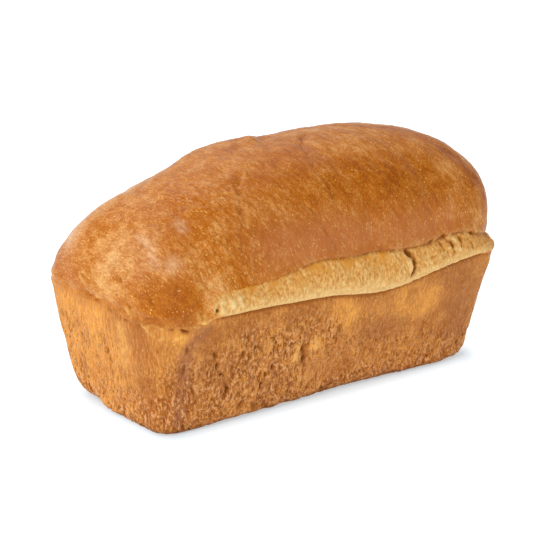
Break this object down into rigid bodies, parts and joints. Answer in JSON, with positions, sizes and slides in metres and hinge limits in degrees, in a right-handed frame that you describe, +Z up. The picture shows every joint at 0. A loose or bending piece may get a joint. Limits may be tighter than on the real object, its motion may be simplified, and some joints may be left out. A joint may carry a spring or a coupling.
{
  "type": "tin loaf",
  "caption": "Whole brown bread loaf baked in an open loaf tin: leaning flat walls, a high domed crust, and a torn band of paler crumb between them along the sides.",
  "frame": {"origin": "centre of the loaf's length and width, at its flat base", "axes": "+X along the loaf to its higher end, +Y across it away from the side with the wide torn band, +Z up"},
  "size_m": [0.2418, 0.1356, 0.1371],
  "materials": {
    "baked_crust": null
  },
  "bodies": {
    "root": {"loaf": "baked_crust"}
  },
  "joints": []
}
